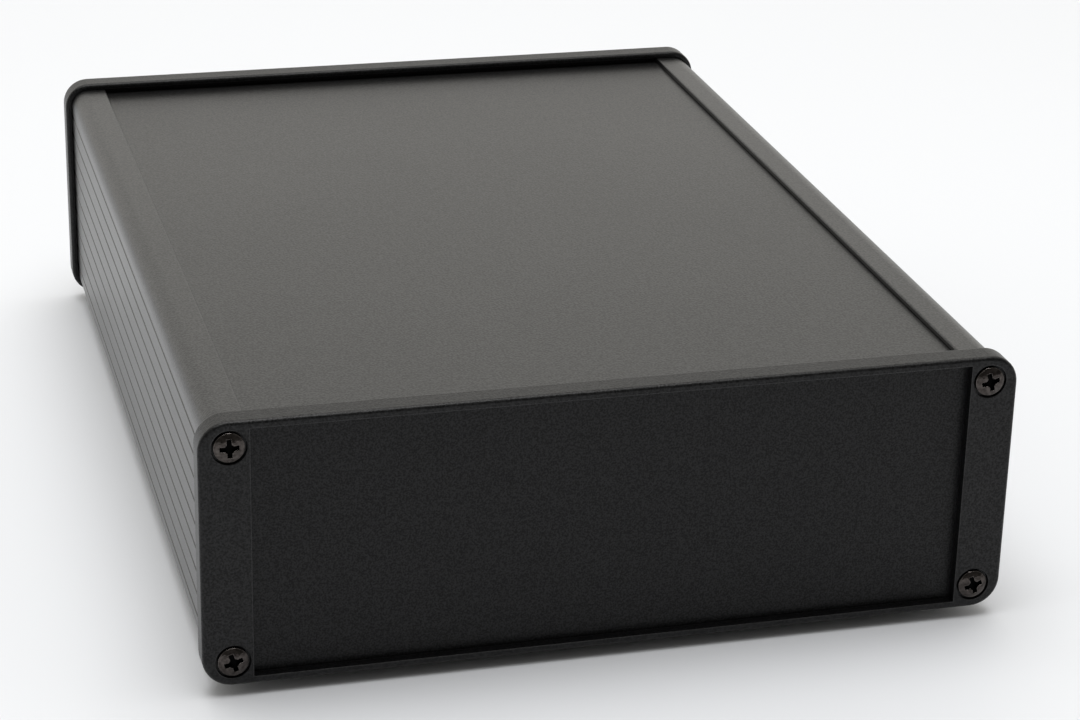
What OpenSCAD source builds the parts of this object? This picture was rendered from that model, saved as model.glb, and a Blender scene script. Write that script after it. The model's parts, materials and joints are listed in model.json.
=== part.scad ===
// Extruded aluminium instrument enclosure: a channel-section body closed by a slide-in cover plate,
// with a screwed bezel over a plain panel at each end, on four rubber feet.
// Millimetres. +Z is up, the front faces -Y, the origin is on the floor under the middle.

/* [Body extrusion] */
// Outside width of the extrusion
body_w = 162; // [120:1:240]
// Outside height of the extrusion
body_h = 52.6; // [48:0.1:90]
// Length of the extrusion
body_len = 212.6; // [80:0.1:320]
// Radius of the four long outer edges
body_corner_r = 4; // [3:0.1:5]
// Thickness of the side walls
side_wall = 1.8; // [1.4:0.1:2.4]
// Thickness of the bottom wall
bottom_wall = 1.8; // [1.4:0.1:3]
// Width of each raised rail along the top edges
rail_w = 8.5; // [8.3:0.1:14]
// Depth of the cover plate below the rails
recess_depth = 1; // [0.8:0.1:1.8]
// Rounding of the rails' inner edges
rail_edge_r = 0.4; // [0.2:0.05:0.6]

/* [Side grooves] */
// Number of decorative grooves on each side
groove_count = 9; // [3:2:9]
// Distance from one groove to the next
groove_pitch = 5; // [3:0.1:5]
// Width of one V groove at the surface
groove_w = 0.8; // [0.3:0.05:1]

/* [Card guides] */
// Number of board slots on each side wall
slot_count = 4; // [1:1:4]
// Distance from one board slot to the next
slot_pitch = 8; // [5.5:0.5:8]
// Width of a board slot
slot_w = 1.9; // [1.6:0.1:2.4]
// Thickness of the rib on each side of a board slot
rib_t = 1.1; // [0.8:0.1:1.5]
// Height of the ribs from the side wall
rib_h = 3.2; // [2:0.1:5]

/* [Screws] */
// Distance of the screw centres from the extrusion's sides
screw_inset_x = 4.5; // [4.3:0.1:4.8]
// Distance of the screw centres from the extrusion's top and bottom
screw_inset_z = 3.7; // [3.5:0.1:4.2]
// Radius of the screw's shank
shank_r = 1.4; // [1.2:0.05:1.5]
// Length of the shank under the head
shank_len = 11; // [6:0.5:20]
// Radius of the pan head
head_r = 3; // [2.5:0.05:3.1]
// Height of the pan head
head_h = 1.6; // [1.3:0.1:2]
// Radius of the head's domed top
dome_r = 6.5; // [5.5:0.5:20]
// Tip-to-tip radius of the cross recess
cross_r = 1.9; // [1.2:0.05:2]
// Width of the cross recess's wings
cross_w = 1; // [0.5:0.05:1.1]
// Depth of the cross recess
cross_depth = 1.2; // [0.6:0.1:1.2]
// Depth of the counterbore that a head sits in
counterbore_depth = 0.9; // [0.5:0.1:1.4]
// Clearance round a head in its counterbore
head_gap = 0.5; // [0.1:0.05:0.5]
// Clearance round a shank in the bezels and the panels
shank_gap = 0.3; // [0.1:0.05:0.5]
// Clearance round a shank in its screw channel
channel_gap = 0.05; // [0.02:0.01:0.1]
// Thickness of the metal round a screw channel
channel_wall = 1.75; // [1.4:0.05:1.8]
// Width of the slot that opens a channel to the inside
channel_mouth = 1.4; // [0.8:0.1:2]

/* [Cover plate] */
// Thickness of the slide-in plate
cover_t = 1.5; // [1:0.1:2]
// How far the plate reaches under the lip of each rail
cover_grip = 1.2; // [0.8:0.1:1.3]
// Thickness of the ledge under the plate
ledge_t = 1.5; // [1:0.1:2.5]
// How far the ledge reaches in past the lip
ledge_reach = 2; // [1:0.1:4]
// Clearance beside and over the plate in its groove
cover_gap = 0.15; // [0.05:0.05:0.3]

/* [Bezels] */
// Height of the bezel's edge over the extrusion, all round
bezel_proud = 1.5; // [1.2:0.1:3]
// Radius of the bezel's outer corners
bezel_corner_r = 6; // [4.5:0.1:8]
// Depth of the window from the bezel's face to the panel
window_depth = 2.1; // [1.9:0.1:3]
// How far the bezel's skirt reaches over the extrusion
skirt_len = 2.1; // [1:0.1:6]
// Clearance between the skirt and what it covers
skirt_gap = 0.15; // [0.05:0.05:0.3]
// Width of the bezel's posts beside the window
post_w = 10; // [9.8:0.1:14]
// Width of the strips above and below the window
strip_w = 1.6; // [1.4:0.1:3]
// Rounding of the bezel's outer edges
bezel_edge_r = 0.8; // [0.2:0.05:1]

/* [Panels] */
// Thickness of the end panels
panel_t = 1.6; // [1:0.1:2.5]

/* [Feet] */
// Clear height under the bezels
ground_clearance = 2.5; // [1:0.1:8]
// Radius of a foot where it is stuck on
foot_r = 6; // [4:0.1:9]
// How much narrower the foot is at the floor
foot_taper = 0.8; // [0.2:0.1:1.5]
// Rounding of the foot's lower edge
foot_edge_r = 0.8; // [0.2:0.1:1]
// Distance of the feet's centres from the extrusion's sides
foot_inset_x = 16; // [10:0.5:40]
// Distance of the feet's centres from the extrusion's ends
foot_inset_y = 18; // [12:0.5:35]

/* [Hidden] */
// How far a cut runs past the face that it opens
cut = 1;
curve_fn = 64;
front = -1;
rear = 1;
sides = [-1, 1];
// Turn of each cross recess in degrees: left low, left high, right low, right high
cross_turns = [-17, -3, -18, -15];

bezel_w = body_w + 2 * bezel_proud;
bezel_h = body_h + 2 * bezel_proud;
bezel_depth = window_depth + panel_t + skirt_len;
window_w = bezel_w - 2 * post_w;
window_h = bezel_h - 2 * strip_w;
pocket_w = body_w + 2 * skirt_gap;
pocket_h = body_h + 2 * skirt_gap;
overall_len = body_len + 2 * (window_depth + panel_t);
centre_z = ground_clearance + bezel_h / 2;
foot_h = ground_clearance + bezel_proud;

// Heights in the section are counted from the section's centre.
field_half = body_w / 2 - rail_w;
cavity_half = body_w / 2 - side_wall;
cavity_floor = bottom_wall - body_h / 2;
cover_top = body_h / 2 - recess_depth;
cover_half = field_half + cover_grip;
ledge_top = cover_top - cover_gap - cover_t;
ledge_half = field_half - ledge_reach;
cavity_top = ledge_top - ledge_t;
slot_mid = (cavity_floor + cavity_top) / 2;
screw_x = body_w / 2 - screw_inset_x;
screw_z = body_h / 2 - screw_inset_z;
channel_bore_r = shank_r + channel_gap;
channel_r = channel_bore_r + channel_wall;
hole_r = shank_r + shank_gap;

// ---- Outlines, drawn with X to the right and Z up ----

// A rectangle about the origin with round corners.
module rounded_rect(w, h, r) {
    square([w - 2 * r, h], center = true);
    square([w, h - 2 * r], center = true);
    for (x = sides, z = sides)
        translate([x * (w / 2 - r), z * (h / 2 - r)]) circle(r, $fn = curve_fn);
}

module at_screws() {
    for (x = sides, z = sides) translate([x * screw_x, z * screw_z]) children();
}

// The space over the cover plate, between the rails, with the rails' edges rounded.
module top_field() {
    translate([-field_half, cover_top]) square([2 * field_half, recess_depth + cut]);
    for (side = [0, 1]) mirror([side, 0]) translate([field_half, body_h / 2]) difference() {
        translate([0, -rail_edge_r]) square([rail_edge_r, rail_edge_r + cut]);
        translate([rail_edge_r, -rail_edge_r]) circle(rail_edge_r, $fn = curve_fn);
    }
}

// The groove that the cover plate slides in, and the opening between the ledges under it.
module cover_opening() {
    groove_half = cover_half + cover_gap;
    translate([-groove_half, ledge_top]) square([2 * groove_half, cover_top - ledge_top]);
    translate([-ledge_half, cavity_top]) square([2 * ledge_half, cover_top - cavity_top]);
}

module side_grooves() {
    for (side = sides, i = [0 : groove_count - 1])
        translate([side * body_w / 2, (i - (groove_count - 1) / 2) * groove_pitch])
            rotate(45) square(groove_w / sqrt(2), center = true);
}

// Pairs of ribs on both side walls, each pair holding the edge of a circuit board.
module card_guides() {
    for (side = sides, i = [0 : slot_count - 1], rib = sides)
        translate([side * (cavity_half - rib_h / 2),
                slot_mid + (i - (slot_count - 1) / 2) * slot_pitch + rib * (slot_w + rib_t) / 2])
            square([rib_h + side_wall, rib_t], center = true);
}

// The four screw channels, each open along a slot that faces the middle of the section's height.
module screw_channels() {
    at_screws() circle(channel_bore_r, $fn = curve_fn);
    for (x = sides, z = sides)
        translate([x * screw_x, z * (screw_z - (channel_r + cut) / 2)])
            square([channel_mouth, channel_r + cut], center = true);
}

module body_section() {
    difference() {
        union() {
            difference() {
                rounded_rect(body_w, body_h, body_corner_r);
                translate([-cavity_half, cavity_floor])
                    square([2 * cavity_half, cavity_top - cavity_floor]);
            }
            at_screws() circle(channel_r, $fn = curve_fn);
            card_guides();
        }
        top_field();
        cover_opening();
        side_grooves();
        screw_channels();
    }
}

// ---- Solids ----

// Extrudes an outline along +Y from the plane y = 0.
module along_y(length) {
    translate([0, length, 0]) rotate([90, 0, 0]) linear_extrude(length) children();
}

// A slab along +Y with round corners, whose outer edges are rounded at both faces.
module soft_slab(w, h, depth, corner_r, edge_r) {
    straight_w = w - 2 * corner_r;
    straight_h = h - 2 * corner_r;
    translate([0, depth / 2, 0]) {
        rotate([90, 0, 90]) linear_extrude(straight_w, center = true) rounded_rect(depth, h, edge_r);
        linear_extrude(straight_h, center = true) rounded_rect(w, depth, edge_r);
        for (x = sides, z = sides) translate([x * straight_w / 2, 0, z * straight_h / 2])
            rotate([90, 0, 0]) rotate_extrude($fn = curve_fn) intersection() {
                rounded_rect(2 * corner_r, depth, edge_r);
                translate([0, -depth / 2]) square([corner_r, depth]);
            }
    }
}

module body() {
    color([0.20, 0.20, 0.20]) translate([0, -body_len / 2, centre_z]) along_y(body_len) body_section();
}

module cover_plate() {
    color([0.20, 0.20, 0.20]) translate([-cover_half, -body_len / 2, centre_z + ledge_top])
        cube([2 * cover_half, body_len, cover_t]);
}

// A bezel with its face at y = 0 and its skirt towards +Y, centred in width and height.
module bezel() {
    difference() {
        soft_slab(bezel_w, bezel_h, bezel_depth, bezel_corner_r, bezel_edge_r);
        translate([0, window_depth, 0]) along_y(bezel_depth)
            rounded_rect(pocket_w, pocket_h, body_corner_r + skirt_gap);
        translate([0, -cut, 0]) along_y(bezel_depth) {
            square([window_w, window_h], center = true);
            at_screws() circle(hole_r, $fn = curve_fn);
        }
        translate([0, -cut, 0]) along_y(counterbore_depth + cut)
            at_screws() circle(head_r + head_gap, $fn = curve_fn);
    }
}

// An end panel with the extrusion's outline, held between its end and the bezel.
module panel() {
    translate([0, window_depth, 0]) along_y(panel_t) difference() {
        rounded_rect(body_w, body_h, body_corner_r);
        at_screws() circle(hole_r, $fn = curve_fn);
    }
}

// Half the section of a pan head: flat underneath, with a straight side and a domed top.
module pan_head_profile() {
    intersection() {
        square([head_r, head_h]);
        translate([0, head_h - dome_r]) circle(dome_r, $fn = curve_fn);
    }
}

// A screw along +Y, with the head's underside in the plane y = 0 and the cross recess turned by turn.
module screw(turn) {
    difference() {
        rotate([90, 0, 0]) rotate_extrude($fn = curve_fn) pan_head_profile();
        translate([0, -head_h - cut, 0]) rotate([0, turn, 0]) along_y(cross_depth + cut) {
            square([2 * cross_r, cross_w], center = true);
            square([cross_w, 2 * cross_r], center = true);
            circle(cross_w, $fn = curve_fn);
        }
    }
    rotate([-90, 0, 0]) cylinder(h = shank_len, r = shank_r, $fn = curve_fn);
}

// Puts what is drawn with its outer face at y = 0 on one end of the enclosure.
module at_end(end) {
    translate([0, 0, centre_z]) rotate(end == rear ? 180 : 0) translate([0, -overall_len / 2, 0]) children();
}

// One of the eight screws. Left and right are as seen from in front of the end that it holds.
module end_screw(end, x, z) {
    place = (x > 0 ? 2 : 0) + (z > 0 ? 1 : 0);
    color([0.12, 0.11, 0.10]) at_end(end)
        translate([x * screw_x, counterbore_depth, z * screw_z]) screw(cross_turns[place]);
}

// Half the section of a foot: rounded at the floor and a little wider where it is stuck on.
module foot_profile() {
    floor_r = foot_r - foot_taper;
    square([floor_r - foot_edge_r, foot_edge_r]);
    translate([floor_r - foot_edge_r, foot_edge_r]) intersection() {
        circle(foot_edge_r, $fn = curve_fn);
        translate([0, -foot_edge_r]) square(foot_edge_r);
    }
    polygon([[0, foot_edge_r], [floor_r, foot_edge_r], [foot_r, foot_h], [0, foot_h]]);
}

// A rubber foot under the body.
module foot(x, y) {
    color([0.07, 0.07, 0.07])
        translate([x * (body_w / 2 - foot_inset_x), y * (body_len / 2 - foot_inset_y), 0])
            rotate_extrude($fn = curve_fn) foot_profile();
}

module front_bezel() { color([0.13, 0.13, 0.14]) at_end(front) bezel(); }
module rear_bezel() { color([0.13, 0.13, 0.14]) at_end(rear) bezel(); }
module front_panel() { color([0.13, 0.13, 0.14]) at_end(front) panel(); }
module rear_panel() { color([0.13, 0.13, 0.14]) at_end(rear) panel(); }

body();
cover_plate();
front_bezel();
rear_bezel();
front_panel();
rear_panel();
end_screw(front, -1, -1);  // screw_front_left_low
end_screw(front, -1, 1);  // screw_front_left_high
end_screw(front, 1, -1);  // screw_front_right_low
end_screw(front, 1, 1);  // screw_front_right_high
end_screw(rear, -1, -1);  // screw_rear_left_low
end_screw(rear, -1, 1);  // screw_rear_left_high
end_screw(rear, 1, -1);  // screw_rear_right_low
end_screw(rear, 1, 1);  // screw_rear_right_high
foot(-1, -1);  // foot_front_left
foot(1, -1);  // foot_front_right
foot(-1, 1);  // foot_rear_left
foot(1, 1);  // foot_rear_right
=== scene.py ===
"""Black extruded enclosure on a pale studio floor. Lengths are in metres, in the frame of the solids."""
import json
import math

import bpy
from mathutils import Matrix, Vector


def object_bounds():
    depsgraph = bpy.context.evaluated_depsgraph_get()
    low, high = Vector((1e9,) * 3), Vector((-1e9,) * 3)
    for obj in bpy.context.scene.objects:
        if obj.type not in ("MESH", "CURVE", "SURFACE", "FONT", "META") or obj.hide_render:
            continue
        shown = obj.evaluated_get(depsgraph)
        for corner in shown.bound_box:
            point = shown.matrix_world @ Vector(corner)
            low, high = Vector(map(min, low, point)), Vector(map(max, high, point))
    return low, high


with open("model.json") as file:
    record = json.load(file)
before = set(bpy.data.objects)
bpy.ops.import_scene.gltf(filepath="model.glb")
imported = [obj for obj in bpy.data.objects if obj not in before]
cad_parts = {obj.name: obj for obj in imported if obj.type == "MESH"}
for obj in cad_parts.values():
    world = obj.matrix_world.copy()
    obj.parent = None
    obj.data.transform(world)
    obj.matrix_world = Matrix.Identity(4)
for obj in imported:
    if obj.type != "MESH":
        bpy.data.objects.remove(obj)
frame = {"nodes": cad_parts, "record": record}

MM = 0.001
cad_low, cad_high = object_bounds()

# ---- Camera: where the product shot was taken from ----
CAM_PLACE = Vector((-153.9, -605.4, 279.6)) * MM
CAM_AZIMUTH = math.radians(15.475)
CAM_DOWN = math.radians(22.604)
CAM_ROLL = math.radians(1.379)
CAM_LENS = 97.72
CAM_SENSOR = 36.0
CAM_NEAR = 0.01
CAM_FAR = 50.0

# ---- Studio ----
FLOOR_SIZE = 9.0
FLOOR_COLOUR = (0.785, 0.80, 0.83)
FLOOR_DIMMING = 0.985
FLOOR_DRIFT_MM = 400.0
FLOOR_ROUGHNESS = 0.6
LAMP_PLACE = (-0.05, -0.08, 1.8)
LAMP_AIM = (0, 0, 0)
LAMP_SIZE = 1.4
LAMP_WATTS = 26
# The world is dim before the box and bright behind it. WORLD_REACH is how far along Y
# a direction points where the world is fully dim or fully bright.
WORLD_BEFORE = 0.20
WORLD_BEHIND = 1.0
WORLD_REACH = 0.5
WORLD_TINT = (1.0, 0.98, 0.93, 1)

# ---- Coatings: each has a dark and a light colour, which its grain mixes ----
SHELL_COAT = ((0.003, 0.003, 0.003), (0.012, 0.012, 0.012))
END_COAT = ((0.0012, 0.0012, 0.0013), (0.0055, 0.0055, 0.0060))
PLATING = ((0.030, 0.026, 0.024), (0.085, 0.075, 0.070))
RUBBER = ((0.010, 0.010, 0.010), (0.022, 0.022, 0.021))
# Painted highlight: a lighter colour laid on the bezel's inner rims, where light glints.
RIM_HIGHLIGHT_COAT = (0.035, 0.035, 0.036)
# Painted glint: a light colour on the screws' rounded edges.
RIM_GLINT_PLATING = (0.22, 0.20, 0.19)
# Painted shade: near black down the screws' head sides and in their cross recesses.
RECESS_SHADE = (0.004, 0.004, 0.004)
SHINE_SPREAD = 0.25
GLOSS_SPREAD = 0.01
GLOSS_DRIFT_MM = 60.0
POLISHED_ROUGHNESS = 0.11
UNPOLISHED_ROUGHNESS = 0.6
RUBBER_ROUGHNESS = (0.75, 0.9)

# ---- Ranges that a value is mapped from or to ----
UNIT = (0.0, 1.0)
NOISE_SPAN = (0.3, 0.7)
GRAIN_SPAN = (0.35, 0.65)
# An inner edge: its normal turns in, weighed by the distance from the middle, yet still faces out.
TURNED_IN = (-2 * MM, -8 * MM)
STILL_OUTWARD = (0.5, 0.7)
# A screw's polished face: it faces out and it lies above the recess; its rounded edges get a painted
# glint, and its sides and cross recesses a painted shade.
HEAD_RIM = cad_high.y - 0.75 * MM
ABOVE_RECESS = (HEAD_RIM - 0.25 * MM, HEAD_RIM - 0.1 * MM)
HEAD_OUTWARD = (0.25, 0.45)
EDGE_TURNED = (0.03, 0.2)
ROUNDING_SAMPLES = 6


def new_material(name):
    """A material with an empty node tree, its tree and its principled shader."""
    material = bpy.data.materials.new(name)
    material.use_nodes = True
    tree = material.node_tree
    tree.nodes.clear()
    output = tree.nodes.new("ShaderNodeOutputMaterial")
    shader = tree.nodes.new("ShaderNodeBsdfPrincipled")
    tree.links.new(shader.outputs["BSDF"], output.inputs["Surface"])
    return material, tree, shader


def add_noise(tree, size_mm, detail, roughness=0.5):
    """3-D noise in the object's own coordinates, with features about size_mm across."""
    place = tree.nodes.new("ShaderNodeTexCoord")
    noise = tree.nodes.new("ShaderNodeTexNoise")
    noise.inputs["Scale"].default_value = 1 / (size_mm * MM)
    noise.inputs["Detail"].default_value = detail
    noise.inputs["Roughness"].default_value = roughness
    tree.links.new(place.outputs["Object"], noise.inputs["Vector"])
    return noise.outputs["Fac"]


def add_range(tree, value, to, span=NOISE_SPAN):
    """value mapped from span to the range to, and held at its ends."""
    node = tree.nodes.new("ShaderNodeMapRange")
    node.inputs["From Min"].default_value, node.inputs["From Max"].default_value = span
    node.inputs["To Min"].default_value, node.inputs["To Max"].default_value = to
    tree.links.new(value, node.inputs["Value"])
    return node.outputs["Result"]


def add_colour(tree, value, dark, light):
    """A colour between dark and light, by value."""
    node = tree.nodes.new("ShaderNodeMix")
    node.data_type = "RGBA"
    node.inputs["A"].default_value = (*dark, 1)
    node.inputs["B"].default_value = (*light, 1)
    tree.links.new(value, node.inputs["Factor"])
    return node.outputs["Result"]


def add_over(tree, share, colour, top):
    """colour with the plain colour top over it, by share."""
    node = tree.nodes.new("ShaderNodeMix")
    node.data_type = "RGBA"
    tree.links.new(colour, node.inputs["A"])
    node.inputs["B"].default_value = (*top, 1)
    tree.links.new(share, node.inputs["Factor"])
    return node.outputs["Result"]


def add_math(tree, operation, first, second=None):
    """One step of arithmetic on one value or two."""
    node = tree.nodes.new("ShaderNodeMath")
    node.operation = operation
    tree.links.new(first, node.inputs[0])
    if second is not None:
        tree.links.new(second, node.inputs[1])
    return node.outputs["Value"]


def add_vector_math(tree, operation, first, second):
    """One step of arithmetic on a vector and a vector or three numbers."""
    node = tree.nodes.new("ShaderNodeVectorMath")
    node.operation = operation
    tree.links.new(first, node.inputs[0])
    if isinstance(second, tuple):
        node.inputs[1].default_value = second
    else:
        tree.links.new(second, node.inputs[1])
    return node.outputs["Value" if operation == "DOT_PRODUCT" else "Vector"]


def add_length_share(tree, vector):
    """The size of a vector's part along the box's length, whichever way it points."""
    parts = tree.nodes.new("ShaderNodeSeparateXYZ")
    tree.links.new(vector, parts.inputs["Vector"])
    return add_math(tree, "ABSOLUTE", parts.outputs["Y"])


def add_rounded(tree, radius_mm):
    """The surface's normal with its sharp edges shown rounded to radius_mm."""
    node = tree.nodes.new("ShaderNodeBevel")
    node.samples = ROUNDING_SAMPLES
    node.inputs["Radius"].default_value = radius_mm * MM
    return node.outputs["Normal"]


def add_bump(tree, value, height_mm, below=None):
    """Relief height_mm deep from value, over the normal below."""
    node = tree.nodes.new("ShaderNodeBump")
    node.inputs["Strength"].default_value = 1.0
    node.inputs["Distance"].default_value = height_mm * MM
    tree.links.new(value, node.inputs["Height"])
    if below is not None:
        tree.links.new(below, node.inputs["Normal"])
    return node.outputs["Normal"]


def add_inner_edge(tree, rounded):
    """1 on an end's rounded edges that turn in to its middle, such as a window's rim, else 0; it places
    a painted highlight.
    """
    surface = tree.nodes.new("ShaderNodeNewGeometry")
    middle = (0.0, 0.0, (cad_low.z + cad_high.z) / 2)
    from_middle = add_vector_math(tree, "SUBTRACT", surface.outputs["Position"], middle)
    across = add_vector_math(tree, "MULTIPLY", from_middle, (1.0, 0.0, 1.0))
    turn = add_vector_math(tree, "DOT_PRODUCT", across, rounded)
    inwards = add_range(tree, turn, UNIT, TURNED_IN)
    outward = add_range(tree, add_length_share(tree, rounded), UNIT, STILL_OUTWARD)
    return add_math(tree, "MULTIPLY", inwards, outward)


def coated(name, coat, rough, shine, grain_mm, grain_height_mm, edge_mm, rim_highlight=None):
    """A dark coating with a pebbled grain, whose tops shine more, and a slow drift in its gloss.

    Its edges are rounded to edge_mm, and the last argument is a painted highlight colour for the inner
    ones."""
    material, tree, shader = new_material(name)
    rounded = add_rounded(tree, edge_mm)
    grain = add_noise(tree, grain_mm, detail=1.0, roughness=0.55)
    colour = add_colour(tree, add_range(tree, grain, UNIT, GRAIN_SPAN), *coat)
    if rim_highlight:
        # Painted highlight: the inner rims get a lighter colour, standing in for light glinting on them.
        colour = add_over(tree, add_inner_edge(tree, rounded), colour, rim_highlight)
    drift = add_noise(tree, GLOSS_DRIFT_MM, detail=2.0)
    gloss = add_range(tree, drift, (rough - GLOSS_SPREAD, rough + GLOSS_SPREAD))
    shines = (shine * (1 - SHINE_SPREAD), shine * (1 + SHINE_SPREAD))
    tops = add_range(tree, grain, shines, GRAIN_SPAN)
    relief = add_bump(tree, grain, grain_height_mm, rounded)
    tree.links.new(colour, shader.inputs["Base Color"])
    tree.links.new(gloss, shader.inputs["Roughness"])
    tree.links.new(tops, shader.inputs["Specular IOR Level"])
    tree.links.new(relief, shader.inputs["Normal"])
    return material


def plated(name, grain_mm, grain_height_mm, edge_mm):
    """Black plating on steel, polished on the heads' faces, with a painted glint along their rounded
    edges.

    It is rougher down the heads' sides and in the cross recesses, where a painted shade makes it near
    black."""
    material, tree, shader = new_material(name)
    rounded = add_rounded(tree, edge_mm)
    grain = add_noise(tree, grain_mm, detail=3.0)
    surface = tree.nodes.new("ShaderNodeNewGeometry")
    outward = add_length_share(tree, surface.outputs["Normal"])
    face = add_range(tree, outward, UNIT, HEAD_OUTWARD)
    above = add_range(tree, add_length_share(tree, surface.outputs["Position"]), UNIT, ABOVE_RECESS)
    polished_unshaded = add_math(tree, "MULTIPLY", face, above)
    turned = add_math(tree, "SUBTRACT", outward, add_length_share(tree, rounded))
    colour = add_colour(tree, add_range(tree, grain, UNIT), *PLATING)
    # Painted glint along the rounded edges of the heads and cross recesses.
    colour = add_over(tree, add_range(tree, turned, UNIT, EDGE_TURNED), colour, RIM_GLINT_PLATING)
    # Painted shade: near black down the heads' sides and in the cross recesses.
    colour = add_over(tree, add_range(tree, polished_unshaded, (1.0, 0.0), UNIT), colour, RECESS_SHADE)
    roughness = add_range(tree, polished_unshaded, (UNPOLISHED_ROUGHNESS, POLISHED_ROUGHNESS), UNIT)
    relief = add_bump(tree, grain, grain_height_mm, rounded)
    tree.links.new(colour, shader.inputs["Base Color"])
    tree.links.new(roughness, shader.inputs["Roughness"])
    tree.links.new(relief, shader.inputs["Normal"])
    shader.inputs["Metallic"].default_value = 1.0
    return material


def rubber(name, grain_mm, grain_height_mm):
    """Matt rubber with a fine grain."""
    material, tree, shader = new_material(name)
    grain = add_noise(tree, grain_mm, detail=4.0)
    colour = add_colour(tree, add_range(tree, grain, UNIT), *RUBBER)
    roughness = add_range(tree, grain, RUBBER_ROUGHNESS)
    relief = add_bump(tree, grain, grain_height_mm)
    tree.links.new(colour, shader.inputs["Base Color"])
    tree.links.new(roughness, shader.inputs["Roughness"])
    tree.links.new(relief, shader.inputs["Normal"])
    return material


def paper(name, colour, rough):
    """Matt pale paper with a faint unevenness."""
    material, tree, shader = new_material(name)
    drift = add_noise(tree, FLOOR_DRIFT_MM, detail=2.0)
    dimmer = tuple(part * FLOOR_DIMMING for part in colour)
    mixed = add_colour(tree, add_range(tree, drift, UNIT), dimmer, colour)
    tree.links.new(mixed, shader.inputs["Base Color"])
    shader.inputs["Roughness"].default_value = rough
    return material


# ---- The pieces ----
MATERIALS = {
    "shell": coated(
        "shell coating", SHELL_COAT, rough=0.30, shine=0.45,
        grain_mm=0.45, grain_height_mm=0.035, edge_mm=0.1,
    ),
    "cover": coated(
        "cover coating", SHELL_COAT, rough=0.32, shine=0.42,
        grain_mm=0.45, grain_height_mm=0.035, edge_mm=0.15,
    ),
    "bezel": coated(
        "bezel plastic", END_COAT, rough=0.36, shine=0.26,
        grain_mm=0.36, grain_height_mm=0.06, edge_mm=0.3, rim_highlight=RIM_HIGHLIGHT_COAT,
    ),
    "panel": coated(
        "panel coating", END_COAT, rough=0.38, shine=0.23,
        grain_mm=0.36, grain_height_mm=0.055, edge_mm=0.15,
    ),
    "screw": plated("black plated steel", grain_mm=0.7, grain_height_mm=0.05, edge_mm=0.2),
    "foot": rubber("black rubber", grain_mm=0.4, grain_height_mm=0.02),
}

for part in frame["record"]["subparts"]:
    piece = frame["nodes"][part["node"]]
    piece.data.materials.clear()
    piece.data.materials.append(MATERIALS[part["material_slot"]])


# ---- Floor ----
def rectangle(name, corners, material):
    """A flat stage piece from its four corners."""
    mesh = bpy.data.meshes.new(name)
    mesh.from_pydata(corners, [], [(0, 1, 2, 3)])
    mesh.materials.append(material)
    piece = bpy.data.objects.new(name, mesh)
    bpy.context.scene.collection.objects.link(piece)


half = FLOOR_SIZE / 2
floor_corners = [(-half, -half, 0), (half, -half, 0), (half, half, 0), (-half, half, 0)]
rectangle("floor", floor_corners, paper("paper", FLOOR_COLOUR, FLOOR_ROUGHNESS))


# ---- Light ----
def soft_light(name, place, aim, size, watts):
    """A square soft light at place, turned towards aim."""
    light = bpy.data.lights.new(name, "AREA")
    light.shape = "SQUARE"
    light.size = size
    light.energy = watts
    lamp = bpy.data.objects.new(name, light)
    lamp.location = place
    lamp.rotation_euler = (Vector(aim) - Vector(place)).to_track_quat("-Z", "Y").to_euler()
    bpy.context.scene.collection.objects.link(lamp)


soft_light("overhead", LAMP_PLACE, LAMP_AIM, LAMP_SIZE, LAMP_WATTS)

world = bpy.data.worlds.new("studio")
bpy.context.scene.world = world
world.use_nodes = True
sky = world.node_tree
sky_place = sky.nodes.new("ShaderNodeTexCoord")
sky_parts = sky.nodes.new("ShaderNodeSeparateXYZ")
sky.links.new(sky_place.outputs["Generated"], sky_parts.inputs["Vector"])
sky_levels = (WORLD_BEFORE, WORLD_BEHIND)
sky_level = add_range(sky, sky_parts.outputs["Y"], sky_levels, (-WORLD_REACH, WORLD_REACH))
background = sky.nodes["Background"]
background.inputs["Color"].default_value = WORLD_TINT
sky.links.new(sky_level, background.inputs["Strength"])

# ---- Camera ----
camera = bpy.data.objects.new("camera", bpy.data.cameras.new("camera"))
bpy.context.scene.collection.objects.link(camera)
bpy.context.scene.camera = camera
camera.data.sensor_width = CAM_SENSOR
camera.data.lens = CAM_LENS
camera.data.clip_start = CAM_NEAR
camera.data.clip_end = CAM_FAR
turn = (
    Matrix.Rotation(-CAM_AZIMUTH, 4, "Z")
    @ Matrix.Rotation(math.radians(90) - CAM_DOWN, 4, "X")
    @ Matrix.Rotation(CAM_ROLL, 4, "Z")
)
camera.matrix_world = Matrix.Translation(CAM_PLACE) @ turn

bpy.context.scene.view_settings.view_transform = "Standard"
